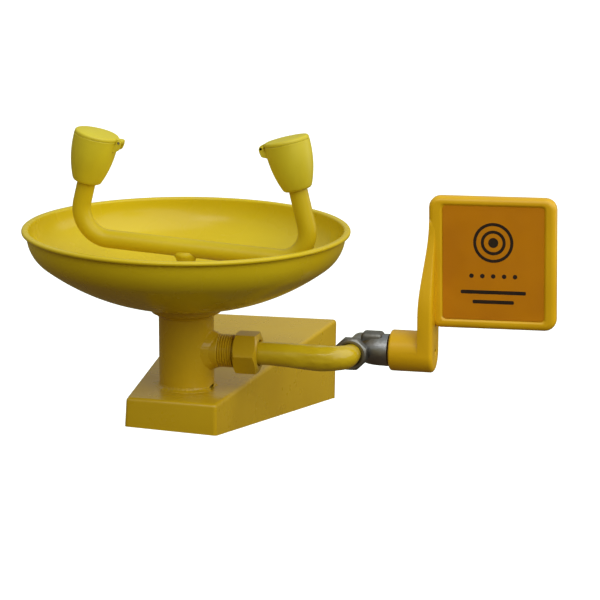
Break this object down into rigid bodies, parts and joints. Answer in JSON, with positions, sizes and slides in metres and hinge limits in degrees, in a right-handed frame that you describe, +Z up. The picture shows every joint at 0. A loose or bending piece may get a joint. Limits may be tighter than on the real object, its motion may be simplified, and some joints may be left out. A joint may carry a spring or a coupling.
{
  "type": "wall-mounted emergency eyewash",
  "caption": "Wall-hung emergency eyewash with a drain bowl, capped spray heads on a bent yoke, and a side ball valve worked by an upright push paddle.",
  "frame": {"origin": "centre of the wall bolt pattern on the wall side of the back plate", "axes": "+Z up, +Y into the wall, +X to the user's right, where the valve and paddle are"},
  "size_m": [0.4865, 0.44, 0.3209],
  "materials": {
    "yellow_enamel": "gloss powder coat",
    "yellow_plastic": "satin moulded",
    "paddle_plastic": "satin moulded",
    "label_print": "printed film",
    "stainless": "satin cast",
    "brass_fitting": "machined",
    "white_plastic": "moulded",
    "black_rubber": "matt"
  },
  "bodies": {
    "stand": {"wall_plate": "yellow_enamel", "bracket_shell": "yellow_enamel", "waste_tail": "yellow_enamel", "column": "yellow_enamel", "bowl_collar": "yellow_enamel", "bowl_gasket": "black_rubber", "bowl": "yellow_enamel", "strainer": "stainless", "strainer_screws": "stainless", "feed_elbow": "brass_fitting", "feed_riser": "yellow_enamel", "side_nipple": "yellow_enamel", "union_gasket": "black_rubber", "union_nut": "yellow_enamel", "supply_pipe": "yellow_enamel", "valve_body": "stainless", "valve_end_cap": "stainless", "ball_seats": "white_plastic", "stem_packing": "white_plastic", "gland_nut": "stainless", "yoke_tube": "yellow_enamel", "spray_cup_left": "yellow_plastic", "spray_cup_right": "yellow_plastic", "spray_disc_left": "white_plastic", "spray_disc_right": "white_plastic", "lid_pin_left": "stainless", "lid_pin_right": "stainless"},
    "handle": {"push_handle": "paddle_plastic", "label_plate": "label_print", "handle_screw": "stainless", "valve_stem": "stainless", "valve_ball": "stainless"},
    "lid_left": {"dust_lid_left": "yellow_plastic"},
    "lid_right": {"dust_lid_right": "yellow_plastic"}
  },
  "joints": [
    {"name": "handle_swing", "type": "hinge", "parent": "stand", "child": "handle", "pos_m": [0.198, -0.25, 0.0765], "axis": [-1, 0, 0], "range_deg": [0, 90]},
    {"name": "lid_left_flip", "type": "hinge", "parent": "stand", "child": "lid_left", "pos_m": [-0.06076, -0.29, 0.26751], "axis": [0, 1, 0], "range_deg": [0, 115]},
    {"name": "lid_right_flip", "type": "hinge", "parent": "stand", "child": "lid_right", "pos_m": [0.07276, -0.29, 0.26751], "axis": [0, -1, 0], "range_deg": [0, 115]}
  ]
}
